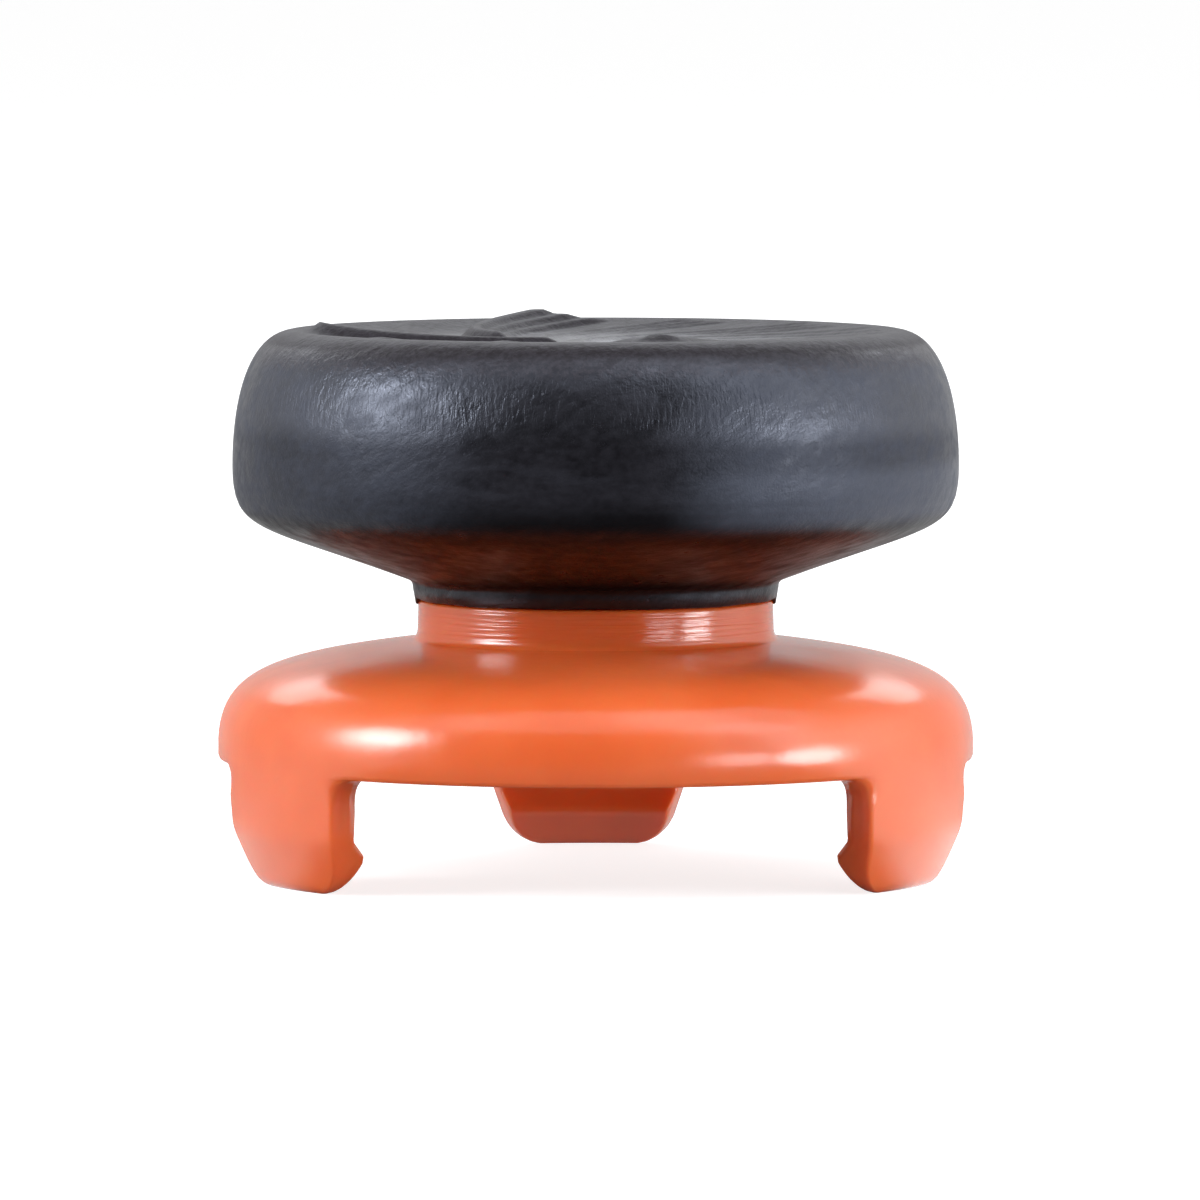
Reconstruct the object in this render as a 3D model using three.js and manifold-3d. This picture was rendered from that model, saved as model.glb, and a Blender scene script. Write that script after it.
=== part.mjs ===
// Controller thumb grip: a hard plastic clip that is pressed on from above, and a rubber head
// moulded over the clip's spigot. Millimetres, +Z up. The grip stands on its three prong tips,
// and the origin is the centre of the circle that they stand on.

import * as THREE from "three";
import { mergeVertices } from "three/addons/utils/BufferGeometryUtils.js";
import Module from "manifold-3d";

const wasm = await Module();
wasm.setup();

// Skirt: a shallow dome, open below
const skirtRadius = 10.49;
const bandHeight = 0.56; // the upright band above the rim
const domeHeight = 2.75; // from the band up to the foot of the neck
const rimRound = 0.14; // rounding of the skirt's lower edge

// Socket under the skirt
const socketWall = 0.98; // skirt radius less socket radius
const socketDepth = 1.63; // rim of the skirt up to the flat ceiling
const socketCorner = 1.0; // fillet between the socket's wall and its ceiling

// Prongs: three hooks that reach in below the socket
const prongCount = 3;
const prongLength = 3.24; // prong tip up to the rim of the skirt
const prongHalfWidth = 2.85;
const prongDraft = 0.09; // how far the outer face leans in over its straight stretch
const prongStraight = 1.75; // height of that straight stretch, below the rim
const prongTipInset = 0.84; // outer face, skirt to tip
const prongTipNarrowing = 0.42; // half-width lost between the straight stretch and the corner
const prongCorner = 0.45; // rounded lower corners
const prongRootFillet = 0.5; // where a prong's side meets the rim
const tipFlatWidth = 0.14; // the narrow flat that the grip stands on
const hookReach = 0.5; // how far the lip stands in from the socket's wall
const lipHeight = 0.82; // tip up to the lip
const lipFace = 0.25; // height of the lip's upright face
const lipBack = 0.45; // height of the slope behind the lip

// Neck, and the spigot with the flange that holds the head
const neckRadius = 4.94;
const neckHeight = 1.1; // dome up to the collar
const neckFlare = 0.17; // how far the neck spreads at its foot
const spigotInset = 0.75; // neck radius less spigot radius
const spigotHeight = 2.0; // collar's lower edge up to the flange
const flangeOverhang = 1.9;
const flangeThickness = 1.2;

// Rubber head
const bondGap = 0.03; // the bond between rubber and plastic
const collarStep = 0.06; // how far the collar stands proud of the neck
const collarFlare = 0.08; // how far the collar spreads towards the head
const collarHeight = 0.56;
const headRadius = 10.08;
const undersideHeight = 3.21; // collar up to the widest line
const sideHeight = 3.72; // widest line up to the crest
const crestInset = 1.75; // head radius less crest radius
const dishDepth = 0.5; // how far the thumb face is dished at its middle
const dishPower = 4; // the dish falls away just inside the crest, and is flat in its middle

// Tread: a pinwheel of curved ridges on the thumb face
const ridgeCount = 12;
const ridgeHeight = 0.2;
const lugEvery = 3; // every second ridge is a taller lug
const lugHeight = 0.35;
const ridgeInnerRadius = 2.2;
const ridgeRimMargin = 0.3; // ridge end to crest circle
const ridgeShare = 0.35; // share of each pitch that a low ridge fills
const lugShare = 0.6; // share that a lug fills
const ridgeSweep = THREE.MathUtils.degToRad(62);
const ridgeTurn = THREE.MathUtils.degToRad(8); // outer end of the first lug, from the front

// Fineness of the mesh
const turnSegments = 72;
const curveSegments = 6;
const ridgeSegments = 8;

// Heights that follow from the sizes
const rimZ = prongLength;
const bandTopZ = rimZ + bandHeight;
const domeTopZ = bandTopZ + domeHeight;
const neckTopZ = domeTopZ + neckHeight;
const ceilingZ = rimZ + socketDepth;
const flangeBottomZ = neckTopZ + spigotHeight;
const flangeTopZ = flangeBottomZ + flangeThickness;
const collarTopZ = neckTopZ + collarHeight;
const widestZ = collarTopZ + undersideHeight;
const crestZ = widestZ + sideHeight;

// Radii that follow from the sizes
const socketRadius = skirtRadius - socketWall;
const lipRadius = socketRadius - hookReach;
const spigotRadius = neckRadius - spigotInset;
const flangeRadius = spigotRadius + flangeOverhang;
const crestRadius = headRadius - crestInset;

// Merges a geometry's shared corners and hands it over as a solid for cutting and joining.
function solidFrom(geometry) {
  geometry.deleteAttribute("normal");
  geometry.deleteAttribute("uv");
  const merged = mergeVertices(geometry);
  const index = merged.index.array;
  const corners = [];
  for (let i = 0; i < index.length; i += 3) {
    const [a, b, c] = [index[i], index[i + 1], index[i + 2]];
    if (a !== b && b !== c && c !== a) {
      corners.push(a, b, c);
    }
  }
  const vertProperties = new Float32Array(merged.attributes.position.array);
  const triVerts = new Uint32Array(corners);
  return new wasm.Manifold(new wasm.Mesh({ numProp: 3, vertProperties, triVerts }));
}

// Turns a solid back into a geometry that a mesh can show.
function geometryFrom(solid) {
  const mesh = solid.getMesh();
  const geometry = new THREE.BufferGeometry();
  geometry.setAttribute("position", new THREE.Float32BufferAttribute(mesh.vertProperties, 3));
  geometry.setIndex(Array.from(mesh.triVerts));
  const flat = geometry.toNonIndexed();
  flat.computeVertexNormals();
  return flat;
}

// Turns a path of (radius, height) points once round the Z axis.
function revolve(path) {
  const geometry = new THREE.LatheGeometry(path.getPoints(curveSegments), turnSegments);
  geometry.rotateX(Math.PI / 2);
  return solidFrom(geometry);
}

function joined(solids) {
  return solids.reduce((whole, solid) => whole.add(solid));
}

// The clip without its prongs: socket, rim, dome, neck, spigot and flange.
function clipBody() {
  const domeFootRadius = neckRadius + neckFlare;
  const domeReach = skirtRadius - domeFootRadius;
  const path = new THREE.Path();
  path.moveTo(0, ceilingZ);
  path.lineTo(socketRadius - socketCorner, ceilingZ);
  path.absarc(socketRadius - socketCorner, ceilingZ - socketCorner, socketCorner, Math.PI / 2, 0, true);
  path.lineTo(socketRadius, rimZ + rimRound);
  path.lineTo(socketRadius + rimRound, rimZ);
  path.lineTo(skirtRadius - rimRound, rimZ);
  path.lineTo(skirtRadius, rimZ + rimRound);
  path.lineTo(skirtRadius, bandTopZ);
  // a full shoulder that flattens towards the neck
  path.bezierCurveTo(
    skirtRadius, bandTopZ + domeHeight * 0.72,
    domeFootRadius + domeReach * 0.69, domeTopZ - domeHeight * 0.17,
    domeFootRadius, domeTopZ,
  );
  path.quadraticCurveTo(neckRadius, domeTopZ + neckFlare * 0.3, neckRadius, domeTopZ + neckFlare * 2);
  path.lineTo(neckRadius, neckTopZ);
  path.lineTo(spigotRadius, neckTopZ);
  path.lineTo(spigotRadius, flangeBottomZ);
  path.lineTo(flangeRadius, flangeBottomZ);
  path.lineTo(flangeRadius, flangeTopZ);
  path.lineTo(0, flangeTopZ);
  return revolve(path);
}

// A ring with the section of a hooked prong; only the stretches inside the prong outlines are kept.
function hookRing() {
  const flushZ = rimZ + rimRound;
  const rootZ = flushZ + rimRound;
  const straightZ = rimZ - prongStraight;
  const straightRadius = skirtRadius - prongDraft;
  const tipRadius = skirtRadius - prongTipInset;
  const tipInnerRadius = tipRadius - tipFlatWidth;
  const path = new THREE.Path();
  path.moveTo(socketRadius + rimRound, rootZ);
  path.lineTo(socketRadius, flushZ);
  path.lineTo(socketRadius, lipHeight + lipFace + lipBack);
  path.lineTo(lipRadius, lipHeight + lipFace);
  path.lineTo(lipRadius, lipHeight);
  path.lineTo(tipInnerRadius, 0);
  path.lineTo(tipRadius, 0);
  path.lineTo(tipRadius + prongTipInset * 0.2, straightZ * 0.12);
  path.lineTo(straightRadius - prongTipInset * 0.04, straightZ * 0.9);
  path.lineTo(straightRadius, straightZ * 1.1);
  path.lineTo(skirtRadius, flushZ);
  path.lineTo(skirtRadius - rimRound, rootZ);
  path.closePath();
  return revolve(path);
}

// One prong's outline as seen square on, as a blade that runs through the ring.
function prongBlade(turn) {
  const topZ = rimZ + rimRound * 3;
  const straightZ = rimZ - prongStraight;
  const cornerHalfWidth = prongHalfWidth - prongTipNarrowing;
  const rootHalfWidth = prongHalfWidth + prongRootFillet;
  const outline = new THREE.Shape();
  outline.moveTo(cornerHalfWidth - prongCorner, 0);
  outline.absarc(cornerHalfWidth - prongCorner, prongCorner, prongCorner, -Math.PI / 2, 0, false);
  outline.quadraticCurveTo(prongHalfWidth, straightZ * 0.6, prongHalfWidth, straightZ);
  outline.lineTo(prongHalfWidth, rimZ - prongRootFillet);
  outline.quadraticCurveTo(prongHalfWidth, rimZ, rootHalfWidth, rimZ);
  outline.lineTo(rootHalfWidth, topZ);
  outline.lineTo(-rootHalfWidth, topZ);
  outline.lineTo(-rootHalfWidth, rimZ);
  outline.quadraticCurveTo(-prongHalfWidth, rimZ, -prongHalfWidth, rimZ - prongRootFillet);
  outline.lineTo(-prongHalfWidth, straightZ);
  outline.quadraticCurveTo(-prongHalfWidth, straightZ * 0.6, -cornerHalfWidth, prongCorner);
  outline.absarc(-cornerHalfWidth + prongCorner, prongCorner, prongCorner, Math.PI, Math.PI * 1.5, false);
  outline.closePath();
  const bladeStart = lipRadius * 0.7;
  const geometry = new THREE.ExtrudeGeometry(outline, {
    depth: skirtRadius * 1.1 - bladeStart,
    bevelEnabled: false,
    curveSegments: 5,
  });
  geometry.translate(0, 0, bladeStart);
  geometry.rotateX(Math.PI / 2);
  geometry.rotateZ(turn);
  return solidFrom(geometry);
}

function clipBase() {
  const blades = [];
  for (let i = 0; i < prongCount; i += 1) {
    blades.push(prongBlade(Math.PI + (i * 2 * Math.PI) / prongCount));
  }
  const prongs = hookRing().intersect(joined(blades));
  return clipBody().add(prongs);
}

// The head without its tread: collar, underside, side and the dished thumb face.
function headBody() {
  const cavityRadius = spigotRadius + bondGap;
  const collarBottomZ = neckTopZ + bondGap;
  const collarFootRadius = neckRadius + collarStep;
  const collarTopRadius = collarFootRadius + collarFlare;
  const rootFillet = collarHeight * 0.2;
  const undersideReach = headRadius - collarTopRadius;
  const path = new THREE.Path();
  path.moveTo(0, flangeTopZ + bondGap);
  path.lineTo(flangeRadius + bondGap, flangeTopZ + bondGap);
  path.lineTo(flangeRadius + bondGap, flangeBottomZ - bondGap);
  path.lineTo(cavityRadius, flangeBottomZ - bondGap);
  path.lineTo(cavityRadius, collarBottomZ);
  path.lineTo(collarFootRadius, collarBottomZ);
  path.lineTo(collarTopRadius, collarTopZ - rootFillet);
  path.lineTo(collarTopRadius + rootFillet, collarTopZ);
  // a cone that rounds up into the widest line
  path.bezierCurveTo(
    collarTopRadius + undersideReach * 0.88, collarTopZ + undersideHeight * 0.505,
    headRadius, widestZ - undersideHeight * 0.59,
    headRadius, widestZ,
  );
  // the side leans in, and turns over a firm shoulder to the crest
  path.bezierCurveTo(
    headRadius, widestZ + sideHeight * 0.41,
    crestRadius + crestInset * 0.8, crestZ,
    crestRadius, crestZ,
  );
  addDish(path, 0);
  return revolve(path);
}

// Runs a path from the crest circle to the axis along the dished face, raised by a height.
function addDish(path, height) {
  const rings = ridgeSegments;
  for (let i = 0; i <= rings; i += 1) {
    const radius = crestRadius * (1 - i / rings);
    path.lineTo(radius, dishZ(radius) + height);
  }
}

function dishZ(radius) {
  return crestZ - dishDepth * (1 - (radius / crestRadius) ** dishPower);
}

// Everything that lies between the head's inside and the dished face raised by a height.
function raisedFace(height) {
  const footZ = crestZ - dishDepth * 2 - height;
  const path = new THREE.Path();
  path.moveTo(0, footZ);
  path.lineTo(crestRadius, footZ);
  addDish(path, height);
  return revolve(path);
}

// A point of a ridge's edge. The side is -1 or 1, and along runs from 0 inside to 1 at the rim.
function ridgePoint(turn, share, side, along) {
  const outerRadius = crestRadius - ridgeRimMargin;
  const radius = ridgeInnerRadius + (outerRadius - ridgeInnerRadius) * along;
  const pitch = (2 * Math.PI) / ridgeCount;
  const angle = turn + ridgeSweep * (1 - along) + side * pitch * share * 0.5;
  return new THREE.Vector2(radius * Math.sin(angle), -radius * Math.cos(angle));
}

// One curved ridge as an upright block, to be cut to its height by the raised face.
function ridgeBlock(turn, share) {
  const points = [];
  for (let i = 0; i <= ridgeSegments; i += 1) {
    points.push(ridgePoint(turn, share, -1, i / ridgeSegments));
  }
  const endSteps = 4;
  for (let i = 1; i < endSteps; i += 1) {
    points.push(ridgePoint(turn, share, -1 + (2 * i) / endSteps, 1));
  }
  for (let i = ridgeSegments; i >= 0; i -= 1) {
    points.push(ridgePoint(turn, share, 1, i / ridgeSegments));
  }
  const footZ = crestZ - dishDepth * 1.5;
  const geometry = new THREE.ExtrudeGeometry(new THREE.Shape(points), {
    depth: dishDepth * 2 + lugHeight + ridgeHeight,
    bevelEnabled: false,
  });
  geometry.translate(0, 0, footZ);
  return solidFrom(geometry);
}

function rubberHead() {
  const lugs = [];
  const ridges = [];
  for (let i = 0; i < ridgeCount; i += 1) {
    const turn = ridgeTurn + (i * 2 * Math.PI) / ridgeCount;
    if (i % lugEvery === 0) {
      lugs.push(ridgeBlock(turn, lugShare));
    } else {
      ridges.push(ridgeBlock(turn, ridgeShare));
    }
  }
  const tallTread = joined(lugs).intersect(raisedFace(lugHeight));
  const lowTread = joined(ridges).intersect(raisedFace(ridgeHeight));
  return joined([headBody(), tallTread, lowTread]);
}

const clipPlastic = new THREE.MeshStandardMaterial({ color: "#f1692e", roughness: 0.35, metalness: 0 });
const headRubber = new THREE.MeshStandardMaterial({ color: "#3a3b40", roughness: 0.85, metalness: 0 });

const base = new THREE.Mesh(geometryFrom(clipBase()), clipPlastic);
base.name = "clip_base";

const head = new THREE.Mesh(geometryFrom(rubberHead()), headRubber);
head.name = "rubber_head";

const group = new THREE.Group();
group.add(base, head);

export default group;
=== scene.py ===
# %% [markdown]
# # A thumb grip in two shots
# The grip is moulded twice over. The first shot is a clip of orange plastic: a domed skirt with
# three hooked prongs below it and a neck above it. The second shot is a thick head of black
# rubber, moulded round a spigot on top of the neck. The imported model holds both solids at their
# real size, so this script loads it first and takes its measures from it.

# %% Load the frame
import math

import bmesh
import bpy
from mathutils import Matrix, Vector
from mathutils.geometry import interpolate_bezier


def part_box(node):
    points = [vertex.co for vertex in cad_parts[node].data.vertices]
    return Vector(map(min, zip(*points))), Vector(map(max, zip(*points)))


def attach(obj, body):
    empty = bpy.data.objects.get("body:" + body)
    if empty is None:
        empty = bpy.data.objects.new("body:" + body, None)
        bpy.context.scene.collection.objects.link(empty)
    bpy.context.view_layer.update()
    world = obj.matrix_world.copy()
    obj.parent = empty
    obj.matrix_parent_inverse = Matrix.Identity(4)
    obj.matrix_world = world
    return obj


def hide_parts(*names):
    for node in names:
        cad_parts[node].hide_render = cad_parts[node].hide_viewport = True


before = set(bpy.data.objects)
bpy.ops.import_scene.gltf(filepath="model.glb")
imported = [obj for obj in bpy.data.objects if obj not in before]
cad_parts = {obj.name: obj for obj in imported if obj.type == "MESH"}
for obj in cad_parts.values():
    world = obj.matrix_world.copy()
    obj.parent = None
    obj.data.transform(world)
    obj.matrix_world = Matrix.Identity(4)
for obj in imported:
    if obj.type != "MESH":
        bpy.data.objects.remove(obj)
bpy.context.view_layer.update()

MM = 0.001
clip_low, clip_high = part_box("clip_base")
head_low, head_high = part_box("rubber_head")
skirt_radius = clip_high.x
head_radius = head_high.x
print("skirt radius", round(skirt_radius / MM, 2), "mm, head radius", round(head_radius / MM, 2), "mm")
print("clip from", round(clip_low.z / MM, 2), "to", round(clip_high.z / MM, 2), "mm high")

# %% [markdown]
# ## The camera
# The picture looks at the grip almost level, from about fifteen grip widths away, so there is very
# little perspective. A long lens from a real distance gives that look; an orthographic camera
# would lose the small difference between the front prongs and the back one.

# %% Camera
camera_distance = 300 * MM
camera_elevation = math.radians(3.8)
camera_azimuth = math.radians(-1.2)
camera_aim = Vector((0.12 * MM, 0, 7.62 * MM))

camera_data = bpy.data.cameras.new("grip_camera")
camera_data.sensor_width = 36
camera_data.lens = 324
camera_data.clip_start = 0.01
camera_data.clip_end = 10
camera = bpy.data.objects.new("grip_camera", camera_data)
bpy.context.scene.collection.objects.link(camera)
back = Vector((
    math.sin(camera_azimuth) * math.cos(camera_elevation),
    -math.cos(camera_azimuth) * math.cos(camera_elevation),
    math.sin(camera_elevation),
))
camera.location = camera_aim + back * camera_distance
camera.rotation_euler = (-back).to_track_quat("-Z", "Y").to_euler()
bpy.context.scene.camera = camera
print("camera", round(camera_distance / MM), "mm away, lens", camera_data.lens, "mm")

# %% [markdown]
# ## Turned shapes
# Both shots are round bodies, so each starts as half a section that is spun once round the axis.
# Every point of the section gets a ring number before the spin. The spin copies that number, and
# later steps can then ask for "this ring, in these columns" and shape just that patch.

# %% Helpers for sections and turned shapes
def at(radius, height):
    """A point of a half section, in metres, from a radius and a height in millimetres."""
    return Vector((radius * MM, 0, height * MM))


def curve(start, start_handle, end_handle, end, steps):
    """Points along one Bezier curve, without its first point, so that curves can be chained."""
    return interpolate_bezier(start, start_handle, end_handle, end, steps + 1)[1:]


def turned(section, columns):
    """Spins a section of points round the axis, and numbers the rings."""
    bm = bmesh.new()
    ring = bm.verts.layers.int.new("ring")
    chain = [bm.verts.new(point) for point in section]
    for number, vert in enumerate(chain):
        vert[ring] = number
    edges = [bm.edges.new(pair) for pair in zip(chain, chain[1:])]
    bmesh.ops.spin(
        bm, geom=chain + edges, cent=(0, 0, 0), axis=(0, 0, 1),
        angle=math.tau, steps=columns, use_merge=True,
    )
    bmesh.ops.remove_doubles(bm, verts=bm.verts, dist=0.0001 * MM)
    bmesh.ops.recalc_face_normals(bm, faces=bm.faces)
    return bm, ring


def finished_piece(bm, name, body, node):
    """Turns the mesh into a smooth object that stands for one CAD node."""
    bmesh.ops.recalc_face_normals(bm, faces=bm.faces)
    open_edges = [edge for edge in bm.edges if len(edge.link_faces) != 2]
    mesh = bpy.data.meshes.new(name)
    bm.to_mesh(mesh)
    bm.free()
    mesh.shade_smooth()
    piece = bpy.data.objects.new(name, mesh)
    bpy.context.scene.collection.objects.link(piece)
    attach(piece, body)
    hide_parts(node)
    print(name, len(mesh.polygons), "faces,", len(open_edges), "open edges")
    return piece


def polar_angle(point):
    """The angle of a point round the grip's axis, in radians."""
    return math.atan2(point.y, point.x)


def level(stations, height):
    """Reads a value off a short list of (height, value) stations, straight between them."""
    for (high, at_high), (low, at_low) in zip(stations, stations[1:]):
        if height >= low:
            share = (height - low) / (high - low)
            return at_low + (at_high - at_low) * min(share, 1)
    return stations[-1][1]


print("halfway between two stations:", level([(2, 10), (0, 20)], 1))

# %% [markdown]
# ## The clip
# The real clip is one injection moulding. Its section is drawn from the socket's ceiling out to
# the rim, up over the dome and the neck, and on to the spigot and flange that hide in the head.
# The dome is a single Bezier curve: full at the shoulder and almost flat where it meets the neck.

# %% Section of the clip
rim_z = 3.24
band_top_z = rim_z + 0.56
dome_top_z = band_top_z + 2.75
neck_radius = 4.94
neck_draft = 0.01  # the neck is this much slimmer at its top, and wider at its foot
neck_fillet = 0.32  # at the neck's foot, where it catches a thin line of light
band_lean = 0.1  # how far the dome's first curve handle leans in over the straight band
bond_gap = 0.03  # between the plastic and the rubber, all round
neck_top_z = head_low.z / MM - bond_gap
neck_foot_radius = neck_radius + 0.17
socket_radius = skirt_radius / MM - 0.98
ceiling_z = rim_z + 1.63
ceiling_corner = 1.0
rim_round = 0.14
skirt = skirt_radius / MM
spigot_radius = neck_radius - 0.75
flange_radius = spigot_radius + 1.9
flange_bottom_z = neck_top_z + 2.0
flange_top_z = flange_bottom_z + 1.2
dome_handles = (0.72, 0.69, 0.17)  # how full the dome is: shares of its height, reach and height
print("rim at", rim_z, "mm, dome top at", round(dome_top_z, 2), "mm")


def clip_section():
    """The clip's half section. Also returns the ring numbers of the rim's flat underside."""
    corner = ceiling_corner * 0.45
    points = [at(radius, ceiling_z) for radius in (0, 2, 4, 6, 7.6)]
    points.append(at(socket_radius - ceiling_corner, ceiling_z))
    points += curve(
        at(socket_radius - ceiling_corner, ceiling_z), at(socket_radius - corner, ceiling_z),
        at(socket_radius, ceiling_z - corner), at(socket_radius, ceiling_z - ceiling_corner), 6,
    )
    points.append(at(socket_radius, rim_z + 0.25))
    points.append(at(socket_radius, rim_z + 0.08))
    inner_ring = len(points)
    points.append(at(socket_radius + 0.08, rim_z))
    points.append(at(socket_radius + 0.32, rim_z))
    points.append(at(skirt - 0.38, rim_z))
    outer_ring = len(points)
    points.append(at(skirt - rim_round, rim_z))
    points.append(at(skirt - rim_round * 0.29, rim_z + rim_round * 0.29))
    points.append(at(skirt, rim_z + rim_round))
    points.append(at(skirt, band_top_z))
    reach = skirt - neck_foot_radius
    dome_height = dome_top_z - band_top_z
    rising, flat, dropped = dome_handles
    points += curve(
        at(skirt, band_top_z), at(skirt - band_lean, band_top_z + dome_height * rising),
        at(neck_foot_radius + reach * flat, dome_top_z - dome_height * dropped),
        at(neck_foot_radius, dome_top_z), 26,
    )
    wide = neck_radius + neck_draft
    points += curve(
        at(neck_foot_radius, dome_top_z), at(wide + neck_fillet * 0.3, dome_top_z + 0.005),
        at(wide, dome_top_z + neck_fillet * 0.4), at(wide, dome_top_z + neck_fillet), 8,
    )
    # two rings close to the neck's top edge keep the shading of the straight wall straight
    slim = neck_radius - neck_draft
    points += [at(slim, neck_top_z - 0.12), at(slim, neck_top_z - 0.06), at(slim - 0.06, neck_top_z)]
    points += [at(spigot_radius, neck_top_z), at(spigot_radius, flange_bottom_z)]
    points += [at(flange_radius, flange_bottom_z), at(flange_radius, flange_top_z)]
    points.append(at(0, flange_top_z))
    return points, inner_ring, outer_ring

# %% [markdown]
# ## The prongs
# The prongs grow out of the rim. The flat underside of the rim is extruded downwards in short
# steps, and each step is set to the prong's plan at that height: outer radius, inner radius and
# width. The hook, the lead-in slope, the fillet at the root and the rounded corners are all just
# stations of those three values. The outermost columns are drawn close together and pushed in a
# little, which rounds the long edges without a separate bevel.

# %% Prong sizes, as (height, value) stations from the rim down to the tip
clip_columns = 216
prong_directions = [math.radians(angle) for angle in (90, 210, 330)]
prong_columns = 11  # columns on each side of a prong's middle
outer_stations = [
    (3.24, skirt), (2.5, skirt - 0.02), (1.7, skirt - 0.08), (1.5, skirt - 0.12),
    (1.34, skirt - 0.17), (0.2, skirt - 0.62), (0.06, skirt - 0.72), (0, skirt - 0.84),
]
inner_stations = [
    (3.24, socket_radius), (1.56, socket_radius), (1.46, socket_radius - 0.04),
    (1.1, socket_radius - 0.45), (1.04, socket_radius - 0.5), (0.86, socket_radius - 0.5),
    (0.76, socket_radius - 0.45), (0.08, socket_radius - 0.07), (0, socket_radius),
]
width_stations = [
    (3.24, 3.36), (3.2, 3.22), (3.13, 3.1), (3.03, 3.0), (2.9, 2.93), (2.74, 2.89), (2.5, 2.87),
    (1.6, 2.82), (0.8, 2.6), (0.55, 2.48), (0.35, 2.32), (0.18, 2.1), (0.06, 1.84), (0, 1.56),
]
prong_rows = [
    3.2, 3.13, 3.03, 2.9, 2.74, 2.6, 2.45, 2.3, 2.1, 1.9, 1.7, 1.56, 1.46, 1.34, 1.22,
    1.1, 1.04, 0.95, 0.86, 0.76, 0.62, 0.5, 0.4, 0.3, 0.2, 0.15, 0.08, 0.05, 0.02, 0,
]
outer_edge_round = 0.08
inner_edge_round = 0.06
crowding_depth = 0.9  # below the rim, the columns draw together towards the edges over this height
crowded_interior = 0.94  # the inner columns keep to this share of the width
column_places = {prong_columns: 1.0, prong_columns - 1: 0.99, prong_columns - 2: 0.975}
edge_pushes = {prong_columns: 1.0, prong_columns - 1: 0.32}
print(len(prong_rows), "rows and", 2 * prong_columns + 1, "columns on each prong")


def smooth(value):
    """An S-shaped step from 0 to 1."""
    value = min(max(value, 0), 1)
    return value * value * (3 - 2 * value)


def column_share(column, crowding):
    """Where a prong column lies between the middle, 0, and the side face, 1."""
    steps = abs(column)
    even = steps / prong_columns
    crowded = column_places.get(steps, steps / (prong_columns - 3) * crowded_interior)
    return math.copysign(even + (crowded - even) * crowding, column)


def edge_push(column, size):
    """How far the outermost columns are pushed in, so that the long edges are round."""
    return size * edge_pushes.get(abs(column), 0)


def place_prong_vert(vert, depth, radial_share, direction, column):
    """Puts one vertex of a prong's plan at its height, across the wall and along the width."""
    outer = level(outer_stations, depth) - edge_push(column, outer_edge_round)
    inner = level(inner_stations, depth) + edge_push(column, inner_edge_round)
    half_angle = level(width_stations, depth) / skirt
    crowding = smooth((rim_z - depth) / crowding_depth)
    angle = direction + half_angle * column_share(column, crowding)
    radius = (inner + (outer - inner) * radial_share) * MM
    vert.co = (radius * math.cos(angle), radius * math.sin(angle), depth * MM)

# %% Model the clip
def prong_of(vert):
    """The prong direction nearest to a vertex, and the vertex's column counted from its middle."""
    angle = polar_angle(vert.co)
    turns = [(angle - direction + math.pi) % math.tau - math.pi for direction in prong_directions]
    best = min(range(len(turns)), key=lambda i: abs(turns[i]))
    return prong_directions[best], round(turns[best] / (math.tau / clip_columns))


def make_clip():
    section, inner_ring, outer_ring = clip_section()
    bm, ring = turned(section, clip_columns)
    column = bm.verts.layers.int.new("column")
    prong = bm.verts.layers.int.new("prong")
    for vert in bm.verts:
        direction, steps = prong_of(vert)
        vert[column] = steps
        vert[prong] = prong_directions.index(direction)
    # in the prongs' columns the rim's round edges give way to the straight wall
    for vert in bm.verts:
        if abs(vert[column]) < prong_columns and inner_ring <= vert[ring] <= outer_ring + 1:
            angle = polar_angle(vert.co)
            push = edge_push(abs(vert[column]), rim_round)
            if vert[ring] == inner_ring:
                radius = socket_radius
            elif vert[ring] == outer_ring:
                radius = skirt - push
            elif vert[ring] == outer_ring + 1:
                radius = skirt - push * 0.3
            else:
                continue
            vert.co.x = radius * MM * math.cos(angle)
            vert.co.y = radius * MM * math.sin(angle)
    rings = range(inner_ring, outer_ring + 1)
    cap = [
        face for face in bm.faces
        if all(vert[ring] in rings and abs(vert[column]) <= prong_columns for vert in face.verts)
    ]
    shares = {number: i / (len(rings) - 1) for i, number in enumerate(rings)}
    for depth in prong_rows:
        grown = bmesh.ops.extrude_face_region(bm, geom=cap)
        bmesh.ops.delete(bm, geom=cap, context="FACES")
        cap = [item for item in grown["geom"] if isinstance(item, bmesh.types.BMFace)]
        for vert in (item for item in grown["geom"] if isinstance(item, bmesh.types.BMVert)):
            direction = prong_directions[vert[prong]]
            place_prong_vert(vert, depth, shares[vert[ring]], direction, vert[column])
    return finished_piece(bm, "clip_moulding", "root", "clip_base")


clip = make_clip()

# %% [markdown]
# ## The head
# The head is one thick rubber moulding. Its section starts in the cavity round the spigot, comes
# out at the collar, runs out along the sloping underside, and rolls up the side to the crest.
# The thumb face is slightly dished. Its tread is a pinwheel of curved ridges, low ones with taller
# lugs between them. Each column of the face is lifted by its place across its ridge, which has one
# steep flank and one in soft steps. The rings are then turned step by step, so that the columns of
# the mesh curve with the ridges and the flanks stay clean.

# %% Section of the head
head = head_radius / MM
collar_bottom_z = head_low.z / MM
collar_top_z = neck_top_z + 0.56
widest_z = collar_top_z + 3.21
crest_z = widest_z + 3.72
crest_radius = head - 1.75
dish_depth = 0.5
dish_power = 4  # higher keeps the face flatter in the middle and steeper at its rim
crease_heights = (10.42, 10.7)
crease_width = 0.12
crease_depth = 0.009
underside_handles = (0.88, 0.505, 0.59)  # shares of its reach, its rise, and its rise again
side_handles = (0.41, 0.8)  # shares of the side's height, and of the crest's inset
collar_fillet = 0.13

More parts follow.
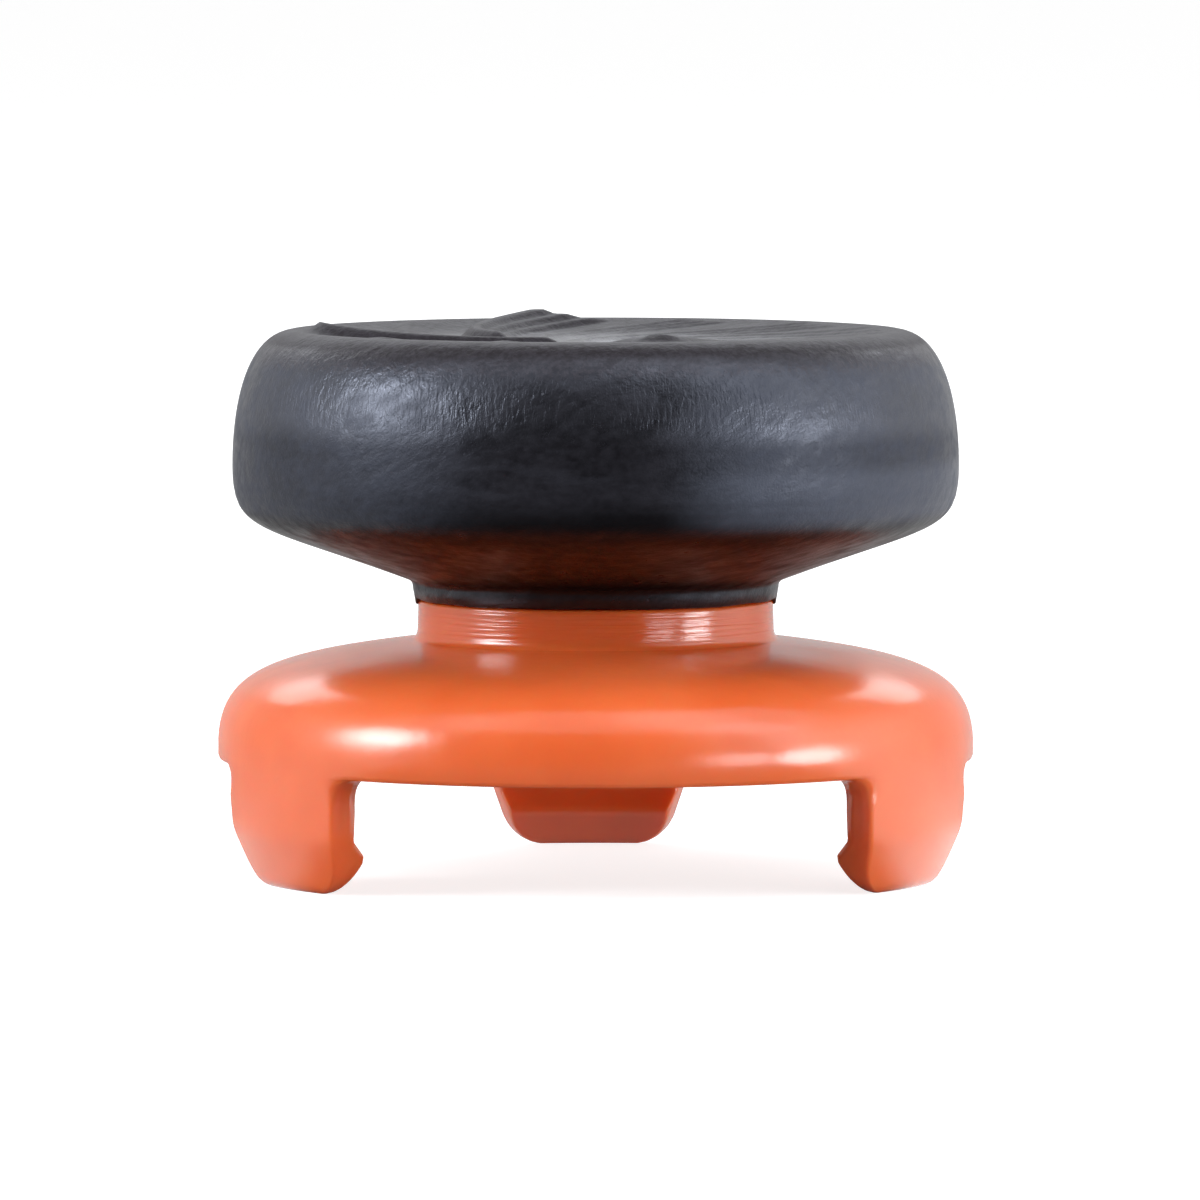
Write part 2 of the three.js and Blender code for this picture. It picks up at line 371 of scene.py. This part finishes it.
head_columns = 360
ridge_count = 12
ridge_outer = crest_radius - 0.3
ridge_inner = 2.2
ridge_sweep = math.radians(62)
face_rings = 44
print("widest at", round(widest_z, 2), "mm, crest at", round(crest_z, 2), "mm")


def dish_z(radius):
    """Height in millimetres of the dished thumb face, without its tread."""
    return crest_z - dish_depth * (1 - (radius / crest_radius) ** dish_power)


def creased(points):
    """Presses the two faint moulding lines, low on the side, into the points of a section."""
    made = []
    for point, following in zip(points, points[1:]):
        groove = sum(max(0, 1 - abs(point.z / MM - z) / crease_width) for z in crease_heights)
        slope = (following - point).normalized()
        inward = Vector((-slope.z, 0, slope.x))
        made.append(point + inward * groove * crease_depth * MM)
    made.append(points[-1])
    return made


def head_section():
    """The head's half section, and the number of its first ring inside the crest."""
    cavity = spigot_radius + bond_gap
    foot = neck_radius + 0.06
    flare = foot + 0.08
    fillet = collar_fillet
    reach = head - flare
    rise = widest_z - collar_top_z
    lean = crest_z - widest_z
    points = [at(0, flange_top_z + bond_gap), at(flange_radius + bond_gap, flange_top_z + bond_gap)]
    points.append(at(flange_radius + bond_gap, flange_bottom_z - bond_gap))
    points.append(at(cavity, flange_bottom_z - bond_gap))
    points.append(at(cavity, collar_bottom_z))
    points += [at(foot - 0.04, collar_bottom_z), at(foot, collar_bottom_z + 0.03)]
    points.append(at(flare, collar_top_z - fillet * 1.6))
    points += curve(
        at(flare, collar_top_z - fillet * 1.6), at(flare, collar_top_z - fillet * 0.5),
        at(flare + fillet * 0.5, collar_top_z), at(flare + fillet * 1.6, collar_top_z + 0.05), 6,
    )
    slope_reach, slope_rise, bulge = underside_handles
    underside = [points[-1]] + curve(
        points[-1], at(flare + reach * slope_reach, collar_top_z + rise * slope_rise),
        at(head, widest_z - rise * bulge), at(head, widest_z), 64,
    )
    points += creased(underside)[1:]
    upright, level_share = side_handles
    points += curve(
        at(head, widest_z), at(head, widest_z + lean * upright),
        at(crest_radius + (head - crest_radius) * level_share, crest_z),
        at(crest_radius, crest_z), 24,
    )
    face_start = len(points)
    step = crest_radius / face_rings
    face_radii = [crest_radius - step * i for i in range(1, face_rings)]
    points += [at(radius, dish_z(radius)) for radius in face_radii]
    points.append(at(0, dish_z(0)))
    return points, face_start

# %% Model the head and its tread
first_lug = math.radians(6 - 90)  # outer end of the first lug, as a polar angle
lug_heights = {0: 0.3, 3: 0.15, 6: 0.39, 9: 0.4}  # the front, right, back and left lugs
low_ridge_height = 0.13
lug_width = 0.76  # share of each pitch that a lug covers
low_ridge_width = 0.45
steep_share = 0.36  # share of a ridge that its steep flank takes
flank_steps = 3
riser_share = 1 / 1.6  # share of each step on that flank that its riser takes
outer_end = 0.16  # a ridge rises over this length at the rim
inner_end = 0.9  # and over this length near the middle
tab_drop = 0.17
tab_half_angle = math.radians(5)
collar_edge_rings = (5, 6)  # the two rings of the collar's lower outer edge


def ridge_shape(across):
    """Height from 0 to 1 across a ridge: soft steps on one side, and steep on the other."""
    if across <= 0 or across >= 1:
        return 0
    if across > 1 - steep_share:
        return smooth((1 - across) / steep_share)
    up = across / (1 - steep_share) * flank_steps
    return (math.floor(up) + smooth(up % 1 / riser_share)) / flank_steps


def tread_height(radius, angle):
    """Height in millimetres of the tread over the dished face, before the twist."""
    pitch = math.tau / ridge_count
    place = (angle - first_lug) % math.tau / pitch
    number = round(place)
    height = lug_heights.get(number % ridge_count, low_ridge_height)
    width = lug_width if height > low_ridge_height else low_ridge_width
    ends = smooth((ridge_outer - radius) / outer_end) * smooth((radius - ridge_inner) / inner_end)
    return height * ends * ridge_shape((place - number) / width + 0.5)


def twist(radius):
    """How far a ring of the thumb face is turned, so that its columns follow the ridges."""
    along = (radius - ridge_inner) / (ridge_outer - ridge_inner)
    return ridge_sweep * (1 - min(max(along, 0), 1))


def collar_drop(angle):
    """How far the collar's lower edge hangs down: a faint wave, and a flash tab on each side."""
    wave = 0.012 * math.sin(5 * angle + 0.6) + 0.01 * math.sin(13 * angle)
    from_side = min(abs(angle), math.pi - abs(angle))
    return wave + tab_drop * smooth((tab_half_angle - from_side) / tab_half_angle * 2)


def make_head():
    section, face_start = head_section()
    bm, ring = turned(section, head_columns)
    for vert in bm.verts:
        if vert[ring] in collar_edge_rings:
            vert.co.z -= collar_drop(polar_angle(vert.co)) * MM
    for vert in bm.verts:
        if vert[ring] < face_start:
            continue
        radius = vert.co.xy.length / MM
        vert.co.z += tread_height(radius, polar_angle(vert.co)) * MM
        vert.co = Matrix.Rotation(twist(radius), 3, "Z") @ vert.co
    return finished_piece(bm, "head_moulding", "root", "rubber_head")


head_piece = make_head()

# %% [markdown]
# ## Shared effects
# Both mouldings show the marks of their making at a very small scale: streaks that run one way,
# and soft patches where the surface is a little duller. One node group makes such a pattern, and
# each material places it with its own stretch and scale.

# %% Node group: stretched noise
def make_streak_group():
    """A group that puts out one soft mask: longer where Stretch is larger, slanted by Turn."""
    group = bpy.data.node_groups.new("moulding_streaks", "ShaderNodeTree")
    sockets = group.interface
    for name, kind, value in (
        ("Stretch", "NodeSocketVector", (1, 1, 1)),
        ("Turn", "NodeSocketVector", (0, 0, 0)),
        ("Scale", "NodeSocketFloat", 1000),
        ("Detail", "NodeSocketFloat", 3),
        ("Low", "NodeSocketFloat", 0.4),
        ("High", "NodeSocketFloat", 0.6),
    ):
        socket = sockets.new_socket(name=name, in_out="INPUT", socket_type=kind)
        socket.default_value = value
    sockets.new_socket(name="Mask", in_out="OUTPUT", socket_type="NodeSocketFloat")
    nodes, links = group.nodes, group.links
    inputs = nodes.new("NodeGroupInput")
    outputs = nodes.new("NodeGroupOutput")
    place = nodes.new("ShaderNodeTexCoord")
    mapping = nodes.new("ShaderNodeMapping")
    mapping.vector_type = "TEXTURE"
    noise = nodes.new("ShaderNodeTexNoise")
    ramp = nodes.new("ShaderNodeMapRange")
    ramp.interpolation_type = "SMOOTHSTEP"
    links.new(place.outputs["Object"], mapping.inputs["Vector"])
    links.new(inputs.outputs["Stretch"], mapping.inputs["Scale"])
    links.new(inputs.outputs["Turn"], mapping.inputs["Rotation"])
    links.new(mapping.outputs["Vector"], noise.inputs["Vector"])
    links.new(inputs.outputs["Scale"], noise.inputs["Scale"])
    links.new(inputs.outputs["Detail"], noise.inputs["Detail"])
    links.new(noise.outputs["Fac"], ramp.inputs["Value"])
    links.new(inputs.outputs["Low"], ramp.inputs["From Min"])
    links.new(inputs.outputs["High"], ramp.inputs["From Max"])
    links.new(ramp.outputs["Result"], outputs.inputs["Mask"])
    return group


streak_group = make_streak_group()
print(streak_group.name, "has", len(streak_group.nodes), "nodes")

# %% Helpers for materials
def streaks(tree, stretch, scale, detail=3, low=0.4, high=0.6, slant=0):
    """Places the streak group in a material and returns its mask socket."""
    node = tree.nodes.new("ShaderNodeGroup")
    node.node_tree = streak_group
    node.inputs["Stretch"].default_value = stretch
    node.inputs["Turn"].default_value = (0, -math.radians(slant), 0)
    node.inputs["Scale"].default_value = scale
    node.inputs["Detail"].default_value = detail
    node.inputs["Low"].default_value = low
    node.inputs["High"].default_value = high
    return node.outputs["Mask"]


def mixed(tree, factor, first, second):
    """A colour mix. Each side is a colour or a socket."""
    node = tree.nodes.new("ShaderNodeMix")
    node.data_type = "RGBA"
    tree.links.new(factor, node.inputs["Factor"])
    for value, socket in ((first, node.inputs["A"]), (second, node.inputs["B"])):
        if isinstance(value, tuple):
            socket.default_value = (*value, 1)
        else:
            tree.links.new(value, socket)
    return node.outputs["Result"]


def computed(tree, operation, first, second):
    """One Math node. Each side is a number or a socket."""
    node = tree.nodes.new("ShaderNodeMath")
    node.operation = operation
    for value, socket in ((first, node.inputs[0]), (second, node.inputs[1])):
        if isinstance(value, (int, float)):
            socket.default_value = value
        else:
            tree.links.new(value, socket)
    return node.outputs["Value"]


def ranged(tree, value, low, high):
    """Maps a 0 to 1 mask onto low to high."""
    node = tree.nodes.new("ShaderNodeMapRange")
    tree.links.new(value, node.inputs["Value"])
    node.inputs["To Min"].default_value = low
    node.inputs["To Max"].default_value = high
    return node.outputs["Result"]


def bumped(tree, height, distance, strength, below=None):
    """A Bump node for a height in 0 to 1, worth a distance in metres."""
    node = tree.nodes.new("ShaderNodeBump")
    node.inputs["Distance"].default_value = distance
    node.inputs["Strength"].default_value = strength
    tree.links.new(height, node.inputs["Height"])
    if below is not None:
        tree.links.new(below, node.inputs["Normal"])
    return node.outputs["Normal"]


def stepped(tree, value, start, end):
    """A soft step from 0 at the start to 1 at the end."""
    node = tree.nodes.new("ShaderNodeMapRange")
    node.interpolation_type = "SMOOTHSTEP"
    tree.links.new(value, node.inputs["Value"])
    node.inputs["From Min"].default_value = start
    node.inputs["From Max"].default_value = end
    return node.outputs["Result"]


def object_axis(tree, axis):
    """The object's own X, Y or Z at the shaded point, in metres."""
    place = tree.nodes.new("ShaderNodeTexCoord")
    axes = tree.nodes.new("ShaderNodeSeparateXYZ")
    tree.links.new(place.outputs["Object"], axes.inputs["Vector"])
    return axes.outputs[axis]


def height_band(tree, low, high, softness):
    """A mask that is 1 between two heights of the object, in millimetres."""
    height = object_axis(tree, "Z")
    above = stepped(tree, height, (low - softness) * MM, low * MM)
    below = stepped(tree, height, (high + softness) * MM, high * MM)
    return computed(tree, "MULTIPLY", above, below)


def new_material(name):
    """A new material, with its node tree and its shader node."""
    material = bpy.data.materials.new(name)
    material.use_nodes = True
    shader = material.node_tree.nodes["Principled BSDF"]
    return material, material.node_tree, shader


def linear(red, green, blue):
    """A colour read off a picture, 0 to 255, as the linear values that a shader takes."""
    def channel(value):
        value /= 255
        return value / 12.92 if value <= 0.04045 else ((value + 0.055) / 1.055) ** 2.4
    return tuple(channel(value) for value in (red, green, blue))


print("middle grey in linear light", round(linear(128, 128, 128)[0], 3))

# %% [markdown]
# ## Orange plastic
# The clip is a bright, slightly milky plastic with a soft shine. Light goes a little way in, so a
# touch of subsurface scattering softens its shadows. The neck is painted a little darker in colour,
# as painted shade under the head's overhang, and it is glossier, with faint turned rings from the
# mould that draw its highlights out into streaks. The rest has a very fine orange peel.

# %% Material of the clip
deep_orange = linear(221, 99, 49)
light_orange = linear(227, 106, 55)
shaded_neck_orange = linear(206, 89, 38)


def make_clip_plastic():
    material, tree, shader = new_material("orange_plastic")
    tone = streaks(tree, (1, 1, 1), 260, 2, 0.35, 0.65)
    colour = mixed(tree, tone, deep_orange, light_orange)
    # painted shade: under the head's overhang the neck is painted most of the way to a darker orange
    painted_neck_shade = computed(tree, "MULTIPLY", height_band(tree, 6.75, 8, 0.3), 0.9)
    colour = mixed(tree, painted_neck_shade, colour, shaded_neck_orange)
    tree.links.new(colour, shader.inputs["Base Color"])
    neck = height_band(tree, 6.75, 8, 0.15)
    rings = streaks(tree, (50, 50, 1), 14000, 2, 0.35, 0.65)
    neck_rings = computed(tree, "MULTIPLY", rings, neck)
    peel = streaks(tree, (1, 1, 1), 2600, 2, 0.3, 0.7)
    normal = bumped(tree, neck_rings, 0.008 * MM, 0.8)
    normal = bumped(tree, peel, 0.004 * MM, 0.5, normal)
    tree.links.new(normal, shader.inputs["Normal"])
    calm = computed(tree, "SUBTRACT", 1, computed(tree, "MULTIPLY", neck, 0.4))
    rough = computed(tree, "MULTIPLY", ranged(tree, tone, 0.18, 0.25), calm)
    tree.links.new(rough, shader.inputs["Roughness"])
    shader.inputs["Subsurface Weight"].default_value = 0.5
    shader.inputs["Subsurface Radius"].default_value = (1, 0.3, 0.12)
    shader.inputs["Subsurface Scale"].default_value = 1.4 * MM
    shader.inputs["IOR"].default_value = 1.6
    return material


clip_plastic = make_clip_plastic()
clip.data.materials.append(clip_plastic)
print(clip_plastic.name, "has", len(clip_plastic.node_tree.nodes), "nodes")

# %% [markdown]
# ## Black rubber
# The head is a soft, matte rubber. It has a bloom in slow patches, fine slanting marks all over,
# short upright scuffs near the top of the side, wisps that run round it lower down, and a few pale
# specks. A pale grey sheen is painted on its left and right sides as the camera sees them, and its
# underside is painted plain and dark as painted shade. The tread is duller still.
# Each pattern is a mask first, so that colour, shine and relief can share it and agree.

# %% Patterns and colour of the rubber
clean_rubber = linear(12, 10, 12)
worn_rubber = linear(24, 22, 26)
rubbed_rubber = linear(44, 43, 48)
clouded_rubber = linear(54, 53, 59)
wispy_rubber = linear(46, 46, 52)
shaded_underside_rubber = linear(13, 11, 12)
painted_sheen_rubber = linear(58, 61, 71)
low_painted_sheen_rubber = linear(88, 92, 104)
tread_rubber = linear(40, 36, 38)
mottled_rubber = linear(50, 46, 50)
pale_speck = linear(96, 98, 106)
speck_radius = 0.035  # as a share of the distance from one speck to the next


def specks(tree):
    """A mask of a few small round specks."""
    cells = tree.nodes.new("ShaderNodeTexVoronoi")
    place = tree.nodes.new("ShaderNodeTexCoord")
    tree.links.new(place.outputs["Object"], cells.inputs["Vector"])
    cells.inputs["Scale"].default_value = 620
    return computed(tree, "LESS_THAN", cells.outputs["Distance"], speck_radius)


def rubber_masks(tree):
    """The patterns of the rubber. Each is a mask from 0 to 1, and most stay within a band of height."""
    bloom = streaks(tree, (1, 1, 0.7), 420, 6, 0.4, 0.62)
    patches = streaks(tree, (2, 1.2, 0.8), 2600, 6, 0.2, 0.8, slant=28)
    cloud = streaks(tree, (1.3, 1.3, 1), 5200, 4, 0.25, 0.75)
    wisps = streaks(tree, (1.7, 1.7, 0.3), 900, 6, 0.48, 0.66)
    scuffs = streaks(tree, (1, 1, 6), 9000, 3, 0.4, 0.6)
    mottle = streaks(tree, (1.3, 1.3, 1), 8500, 4, 0.35, 0.65)
    across = object_axis(tree, "X")
    # painted sheen: the head's left and right sides, as the camera sees them, get a pale grey sheen in
    # their colour
    painted_sheen_left = computed(tree, "MULTIPLY", stepped(tree, across, -2.5 * MM, -6.5 * MM), 0.8)
    painted_sheen_right = stepped(tree, across, 1.4 * MM, 4.4 * MM)
    painted_sheen = computed(tree, "ADD", painted_sheen_left, painted_sheen_right)
    for pattern, least, most in ((bloom, 0.75, 1), (patches, 0.5, 1.1), (cloud, 0.75, 1)):
        painted_sheen = computed(tree, "MULTIPLY", painted_sheen, ranged(tree, pattern, least, most))
    return {
        "bloom": bloom,
        "patches": patches,
        "cloud": cloud,
        "painted_sheen": painted_sheen,
        "side painted_sheen": computed(tree, "MULTIPLY", painted_sheen, height_band(tree, 10.4, 16, 0.5)),
        # more painted sheen, paler again, low on the right side
        "low painted_sheen": computed(tree, "MULTIPLY", painted_sheen_right, height_band(tree, 10.4, 11.3, 0.6)),
        "low wisps": computed(tree, "MULTIPLY", wisps, height_band(tree, 10.6, 12.0, 0.8)),
        "top scuffs": computed(tree, "MULTIPLY", scuffs, height_band(tree, 13.1, 14.1, 0.6)),
        "mottle": computed(tree, "MULTIPLY", mottle, height_band(tree, 14.4, 16, 0.3)),
        "grain": streaks(tree, (1, 1, 1), 15000, 2, 0.3, 0.7),
    }


def rubber_colour(tree, masks):
    """Lays the colours over one another, from the clean rubber up to the specks."""
    colour = mixed(tree, masks["bloom"], clean_rubber, worn_rubber)
    layers = (
        (masks["patches"], 0.3, rubbed_rubber),
        (masks["cloud"], 0.22, clouded_rubber),
        (masks["low wisps"], 0.3, wispy_rubber),
        # painted shade: the underside and the collar are painted plain and dark, without the lighter
        # patches of the side
        (height_band(tree, 7, 10.2, 0.9), 1, shaded_underside_rubber),
        # painted sheen: pale grey on the left and right sides, and paler again low on the right
        (masks["side painted_sheen"], 1, painted_sheen_rubber),
        (masks["low painted_sheen"], 0.4, low_painted_sheen_rubber),
        (height_band(tree, 14.75, 16, 0.5), 1, tread_rubber),
        (masks["mottle"], 1, mottled_rubber),
        (specks(tree), 0.4, pale_speck),
    )
    for mask, strength, layer in layers:
        colour = mixed(tree, computed(tree, "MULTIPLY", mask, strength), colour, layer)
    return colour

# %% Material of the head
def make_head_rubber():
    material, tree, shader = new_material("black_rubber")
    masks = rubber_masks(tree)
    tree.links.new(rubber_colour(tree, masks), shader.inputs["Base Color"])
    dull = computed(tree, "ADD", masks["bloom"], masks["patches"])
    dull = computed(tree, "MULTIPLY", dull, 0.5)
    # where the sheen is painted, the rubber is also a little rougher
    dull = computed(tree, "MAXIMUM", dull, computed(tree, "MULTIPLY", masks["painted_sheen"], 0.6))
    dull = computed(tree, "MAXIMUM", dull, height_band(tree, 14.9, 16, 0.3))
    tree.links.new(ranged(tree, dull, 0.25, 0.5), shader.inputs["Roughness"])
    normal = None
    for pattern, depth, strength in (
        ("top scuffs", 0.008, 0.6), ("mottle", 0.008, 0.5), ("patches", 0.014, 0.85),
        ("cloud", 0.006, 0.5), ("grain", 0.004, 0.5),
    ):
        normal = bumped(tree, masks[pattern], depth * MM, strength, normal)
    tree.links.new(normal, shader.inputs["Normal"])
    # the low side and the tread shine less than the rest
    matt_side = height_band(tree, 8.4, 12.2, 0.7)
    matt = computed(tree, "MAXIMUM", matt_side, height_band(tree, 14.9, 16, 0.3))
    shine = ranged(tree, matt, 0.52, 0.17)
    shine = computed(tree, "MULTIPLY", shine, ranged(tree, masks["patches"], 1.3, 0.7))
    tree.links.new(shine, shader.inputs["Specular IOR Level"])
    shader.inputs["IOR"].default_value = 1.52
    shader.inputs["Specular Tint"].default_value = (0.76, 0.82, 1, 1)
    return material


head_rubber = make_head_rubber()
head_piece.data.materials.append(head_rubber)
print(head_rubber.name, "has", len(head_rubber.node_tree.nodes), "nodes")

# %% [markdown]
# ## The room
# The plastic's neck and dome mirror what stands round them: a dim room on the camera's side, and
# bright walls that start about sixty degrees to each side. One node group holds that brightness as
# a function of direction. The world uses it for light, and the floor uses it for what shows in
# reflections, so the mirror image has no seam at the horizon.

# %% Node group: how bright the room is in each direction
front_level = 0.08
side_level = 1.5
back_drop = 0.9
room_lean = 0.25  # the right wall is this share brighter than the middle, and the left one dimmer


def make_room_group():
    """Puts out the brightness of the room: dim on the camera's side, bright walls beside and behind."""
    group = bpy.data.node_groups.new("room_brightness", "ShaderNodeTree")
    group.interface.new_socket(name="Direction", in_out="INPUT", socket_type="NodeSocketVector")
    group.interface.new_socket(name="Level", in_out="OUTPUT", socket_type="NodeSocketFloat")
    inputs = group.nodes.new("NodeGroupInput")
    outputs = group.nodes.new("NodeGroupOutput")
    unit = group.nodes.new("ShaderNodeVectorMath")
    unit.operation = "NORMALIZE"
    axes = group.nodes.new("ShaderNodeSeparateXYZ")
    group.links.new(inputs.outputs["Direction"], unit.inputs[0])
    group.links.new(unit.outputs["Vector"], axes.inputs["Vector"])
    beside = stepped(group, axes.outputs["Y"], -0.62, -0.42)
    behind = stepped(group, axes.outputs["Y"], 0, 0.7)
    below_ceiling = stepped(group, axes.outputs["Z"], 0.85, 0.4)
    wall = computed(group, "SUBTRACT", side_level, computed(group, "MULTIPLY", behind, back_drop))
    wall = computed(group, "MULTIPLY", wall, computed(group, "MULTIPLY", beside, below_ceiling))
    lean = computed(group, "ADD", computed(group, "MULTIPLY", axes.outputs["X"], room_lean), 1)
    wall = computed(group, "MULTIPLY", wall, lean)
    group.links.new(computed(group, "ADD", wall, front_level), outputs.inputs["Level"])
    return group


def room_level(tree, direction):
    """Places the room group in a tree and returns its level socket."""
    node = tree.nodes.new("ShaderNodeGroup")
    node.node_tree = room_group
    tree.links.new(direction, node.inputs["Direction"])
    return node.outputs["Level"]


room_group = make_room_group()
print("room brightness in front", front_level, "and beside", side_level + front_level)

# %% [markdown]
# ## The floor
# The grip stands on a plain pale floor. The floor glows a little towards the camera, so it reads as
# white there and still keeps the contact shadow. In reflections it takes the room's brightness.

# %% Floor
floor_share = 0.8  # how bright the floor looks in a reflection, beside the wall over it
floor_glow = 0.8


def make_floor():
    bm = bmesh.new()
    bmesh.ops.create_grid(bm, x_segments=1, y_segments=1, size=3)
    mesh = bpy.data.meshes.new("floor")
    bm.to_mesh(mesh)
    bm.free()
    floor = bpy.data.objects.new("floor", mesh)
    bpy.context.scene.collection.objects.link(floor)
    material, tree, shader = new_material("floor_white")
    path = tree.nodes.new("ShaderNodeLightPath")
    colour = mixed(tree, path.outputs["Is Glossy Ray"], (0.45, 0.45, 0.45), (0.08, 0.08, 0.08))
    tree.links.new(colour, shader.inputs["Base Color"])
    shader.inputs["Roughness"].default_value = 0.9
    shader.inputs["Specular IOR Level"].default_value = 0.1
    place = tree.nodes.new("ShaderNodeTexCoord").outputs["Object"]
    mirrored = computed(tree, "MULTIPLY", room_level(tree, place), floor_share)
    mirrored = computed(tree, "MULTIPLY", mirrored, path.outputs["Is Glossy Ray"])
    seen = computed(tree, "MULTIPLY", path.outputs["Is Camera Ray"], floor_glow)
    tree.links.new(computed(tree, "ADD", seen, mirrored), shader.inputs["Emission Strength"])
    shader.inputs["Emission Color"].default_value = (1, 1, 1, 1)
    # from below the floor lets the camera through, so that the socket can be seen
    geometry = tree.nodes.new("ShaderNodeNewGeometry")
    clear = tree.nodes.new("ShaderNodeBsdfTransparent")
    sides = tree.nodes.new("ShaderNodeMixShader")
    tree.links.new(geometry.outputs["Backfacing"], sides.inputs["Fac"])
    tree.links.new(shader.outputs["BSDF"], sides.inputs[1])
    tree.links.new(clear.outputs["BSDF"], sides.inputs[2])
    tree.links.new(sides.outputs["Shader"], tree.nodes["Material Output"].inputs["Surface"])
    floor.data.materials.append(material)
    return floor


floor = make_floor()
print(floor.name, "is", round(floor.dimensions.x, 1), "m wide")

# %% [markdown]
# ## The world
# The world is the same room. The camera sees plain white wherever it looks past the grip.

# %% World
world = bpy.data.worlds.new("studio")
bpy.context.scene.world = world
world.use_nodes = True
world_tree = world.node_tree
background = world_tree.nodes["Background"]
world_direction = world_tree.nodes.new("ShaderNodeTexCoord")
world_path = world_tree.nodes.new("ShaderNodeLightPath")
room = room_level(world_tree, world_direction.outputs["Generated"])
lift_to_white = computed(world_tree, "SUBTRACT", 1, room)
lift_to_white = computed(world_tree, "MULTIPLY", lift_to_white, world_path.outputs["Is Camera Ray"])
world_level = computed(world_tree, "ADD", room, lift_to_white)
world_tree.links.new(world_level, background.inputs["Strength"])
background.inputs["Color"].default_value = (1, 1, 1, 1)
print(world.name, "has", len(world_tree.nodes), "nodes")

# %% [markdown]
# ## Softboxes
# Round lamps add the highlights. Two on the left make the soft spot on the skirt and the one high
# on the head. A low one on the right makes the long spot on the skirt and the streaks on the neck.
# Wide, weak ones fill both sides of the head, and two overhead ones light the dome's front and draw
# its pale top edges.

# %% Softboxes
lamp_target = Vector((0, 0, 8 * MM))
lamp_colour = (0.94, 0.97, 1)


def softbox(name, azimuth, elevation, distance, width, height, watts):
    """An area light aimed at the grip. Azimuth 0 is the camera's side, and 90 the right."""
    light = bpy.data.lights.new(name, "AREA")
    light.shape = "ELLIPSE"
    light.color = lamp_colour
    light.size = width
    light.size_y = height
    light.energy = watts
    lamp = bpy.data.objects.new(name, light)
    bpy.context.scene.collection.objects.link(lamp)
    turn, rise = math.radians(azimuth), math.radians(elevation)
    away = Vector((
        math.sin(turn) * math.cos(rise), -math.cos(turn) * math.cos(rise), math.sin(rise),
    ))
    lamp.location = lamp_target + away * distance
    lamp.rotation_euler = away.to_track_quat("Z", "Y").to_euler()


softbox("left_softbox", -76, 17, 0.4, 0.185, 0.13, 0.42)
softbox("left_high", -71, 24, 0.4, 0.17, 0.14, 0.85)
softbox("left_fill", -66, 50, 0.5, 0.3, 0.3, 0.15)
softbox("right_core", 67, 4, 0.4, 0.16, 0.09, 0.57)
softbox("right_wing", 42, 5, 0.4, 0.16, 0.08, 0.22)
softbox("right_fill", 53, 32, 0.5, 0.34, 0.36, 0.34)
softbox("right_high", 62, 58, 0.5, 0.45, 0.45, 0.6)
softbox("overhead_front", 0, 66, 0.6, 0.9, 0.5, 1.2)
softbox("overhead_back", 180, 38, 0.6, 0.9, 0.3, 1.7)

# %% [markdown]
# ## The view transform
# The render keeps to the plain Standard view transform.

# %% The view transform
bpy.context.scene.view_settings.view_transform = "Standard"
